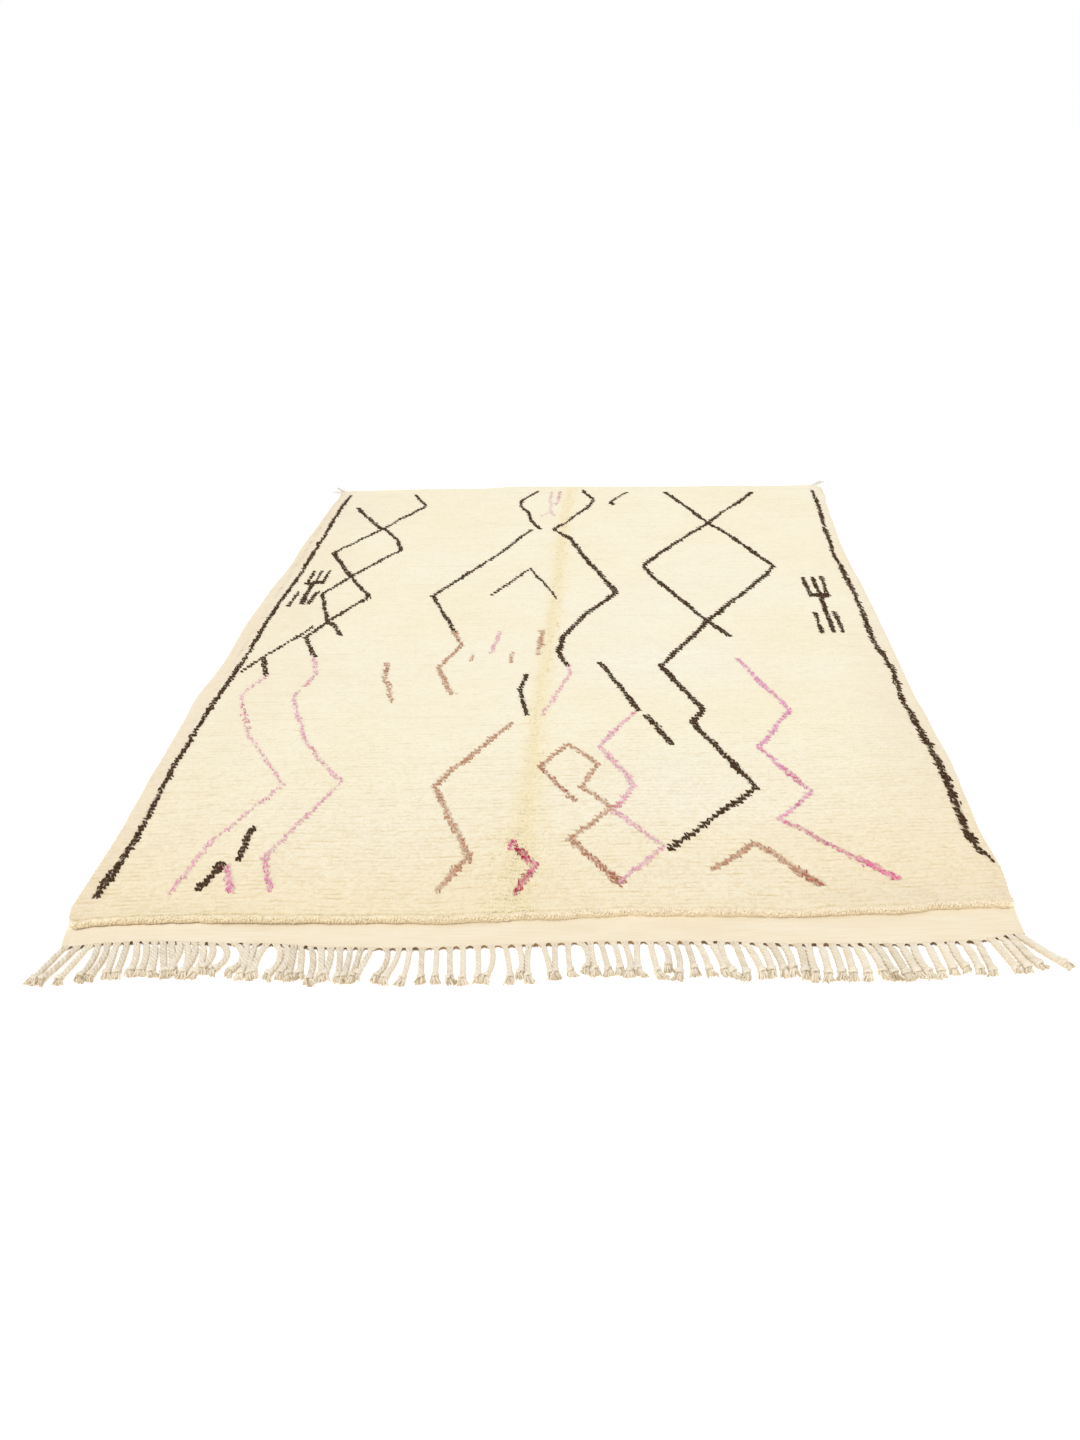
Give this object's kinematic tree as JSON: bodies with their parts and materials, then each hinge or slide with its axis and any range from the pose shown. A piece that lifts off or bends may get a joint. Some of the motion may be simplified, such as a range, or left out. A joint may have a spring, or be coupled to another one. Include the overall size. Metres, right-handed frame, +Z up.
{
  "type": "beni ourain rug",
  "caption": "Flat hand-knotted cream wool pile rug with thin zigzag and lozenge lines, a flat-woven end band and a knotted warp fringe along it.",
  "frame": {"origin": "on the flat underside, near the middle of the knotted field", "axes": "+Z up out of the pile, +Y along the rug away from the fringed end, +X across it to the right as seen from the fringe"},
  "size_m": [2.1142, 3.255, 0.0204],
  "materials": {
    "pile_wool": "matte clipped wool pile",
    "warp_yarn": "matte twisted yarn"
  },
  "bodies": {
    "root": {"rug": "pile_wool", "warp_fringe": "warp_yarn", "corner_tuft_left": "warp_yarn", "corner_tuft_right": "warp_yarn"}
  },
  "joints": []
}
